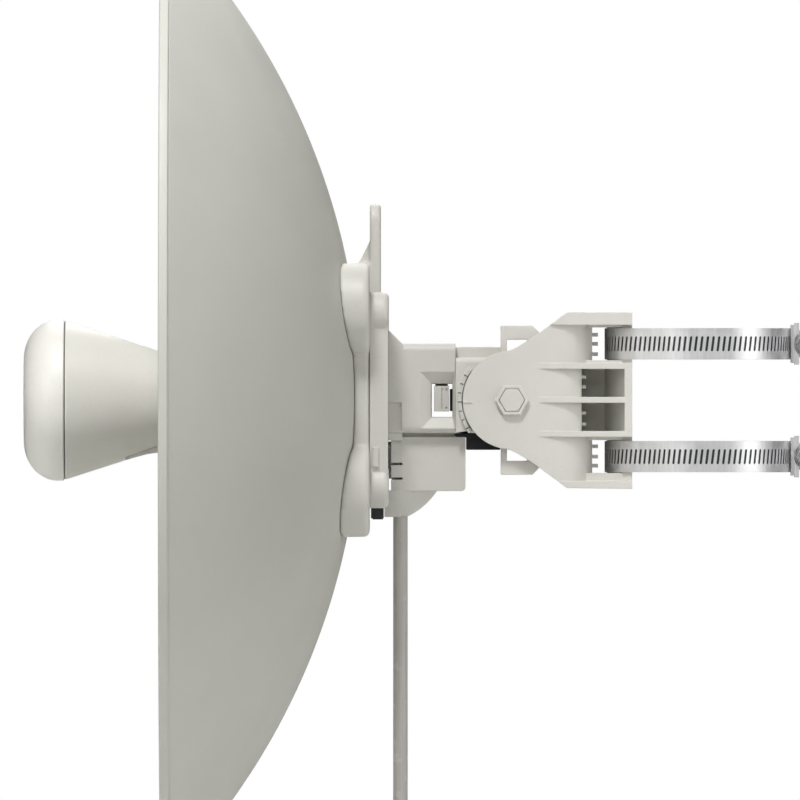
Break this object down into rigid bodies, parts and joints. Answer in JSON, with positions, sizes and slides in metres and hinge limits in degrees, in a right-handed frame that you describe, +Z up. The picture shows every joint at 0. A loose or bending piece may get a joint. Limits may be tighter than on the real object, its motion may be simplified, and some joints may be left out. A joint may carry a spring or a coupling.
{
  "type": "outdoor wireless bridge",
  "caption": "Dish antenna bridge with a central feed, a radio box, a snap-in tilt bracket, pole band clamps and a coiled network cable.",
  "frame": {"origin": "on the axis of the pole that the bands grip, at the height of the tilt bolt", "axes": "+Z up along the pole, -X the way the dish looks at rest, +Y completes the frame"},
  "size_m": [0.3671, 0.444, 0.5195],
  "materials": {
    "dish_coating": "matte powder-coated aluminium",
    "body_plastic": "fine moulded texture, light warm grey",
    "bracket_plastic": "fine moulded texture, glass-filled",
    "feed_plastic": "smooth satin",
    "black_plastic": "matte black",
    "black_rubber": "matte rubber",
    "seal_rubber": "matte grey rubber",
    "stainless_band": "brushed stainless",
    "zinc_steel": "plated",
    "bare_aluminium": "milled",
    "tinned_steel": "tinned",
    "circuit_board": "solder mask",
    "thermal_rubber": "soft",
    "coax_jacket": "smooth",
    "clear_plastic": "clear moulded",
    "brass": "tinned brass",
    "spring_steel": "drawn wire",
    "cable_jacket": "extruded jacket",
    "nylon_tie": "natural nylon"
  },
  "bodies": {
    "mount": {"pole_bracket": "bracket_plastic", "tilt_bolt": "zinc_steel", "tilt_washer": "zinc_steel", "upper_band": "stainless_band", "lower_band": "stainless_band", "upper_band_housing": "stainless_band", "lower_band_housing": "stainless_band"},
    "antenna": {"dish_reflector": "dish_coating", "feed_cap": "feed_plastic", "cap_seal_ring": "seal_rubber", "feed_cone": "feed_plastic", "feed_duct": "feed_plastic", "sub_reflector": "bare_aluminium", "feed_board": "circuit_board", "feed_mast": "bare_aluminium", "feed_coax": "coax_jacket", "feed_collar": "feed_plastic", "collar_screws": "zinc_steel", "dish_hub": "body_plastic", "dish_screws": "zinc_steel", "rear_shell": "body_plastic", "lug_screws": "zinc_steel", "heat_spreader": "bare_aluminium", "thermal_pad": "thermal_rubber", "rf_shield": "tinned_steel", "radio_board": "circuit_board", "board_screws": "zinc_steel", "network_jack": "tinned_steel", "jack_plug": "clear_plastic", "vent_block": "black_plastic", "status_lens": "clear_plastic", "ground_lug": "brass", "ground_screw": "zinc_steel", "neck_housing": "body_plastic", "neck_screws": "zinc_steel", "tilt_tongue": "body_plastic", "tongue_pad": "black_rubber", "latch_spring": "spring_steel", "latch_bumper": "black_rubber"},
    "nut": {"tilt_nut": "zinc_steel"},
    "upper_screw": {"upper_clamp_screw": "zinc_steel"},
    "lower_screw": {"lower_clamp_screw": "zinc_steel"},
    "left_button": {"left_latch": "body_plastic"},
    "right_button": {"right_latch": "body_plastic"},
    "cover": {"port_cover": "body_plastic", "gland_seal": "black_rubber"},
    "cable": {"network_cable": "cable_jacket", "cable_coil": "cable_jacket", "cable_tie": "nylon_tie", "cable_plug": "clear_plastic"}
  },
  "joints": [
    {"name": "tilt", "type": "hinge", "parent": "mount", "child": "antenna", "pos_m": [-0.0901, 0, 0], "axis": [0, 1, 0], "range_deg": [-30, 30]},
    {"name": "cable_hang", "type": "hinge", "parent": "antenna", "child": "cable", "pos_m": [-0.1415, 0, -0.074], "axis": [0, 1, 0], "range_deg": [-30, 30], "deforming": ["network_cable"]},
    {"name": "tilt_nut_turn", "type": "hinge", "parent": "mount", "child": "nut", "pos_m": [-0.0901, 0, 0], "axis": [0, 1, 0], "continuous": true},
    {"name": "upper_screw_turn", "type": "hinge", "parent": "mount", "child": "upper_screw", "pos_m": [0.0456, 0, 0.026], "axis": [0, 1, 0], "continuous": true},
    {"name": "lower_screw_turn", "type": "hinge", "parent": "mount", "child": "lower_screw", "pos_m": [0.0456, 0, -0.026], "axis": [0, 1, 0], "continuous": true},
    {"name": "left_latch_press", "type": "slide", "parent": "antenna", "child": "left_button", "axis": [0, 1, 0], "range_m": [0, 0.0022], "stiffness_N_per_m": 900, "springref_m": -0.002, "deforming": ["latch_spring"]},
    {"name": "right_latch_press", "type": "slide", "parent": "antenna", "child": "right_button", "axis": [0, -1, 0], "range_m": [0, 0.0022], "stiffness_N_per_m": 900, "springref_m": -0.002},
    {"name": "port_cover_slide", "type": "slide", "parent": "antenna", "child": "cover", "axis": [0, 0, -1], "range_m": [0, 0.045]}
  ],
  "couplings": [
    {"joint": "cable_hang", "follows": "tilt", "ratio": -1}
  ]
}
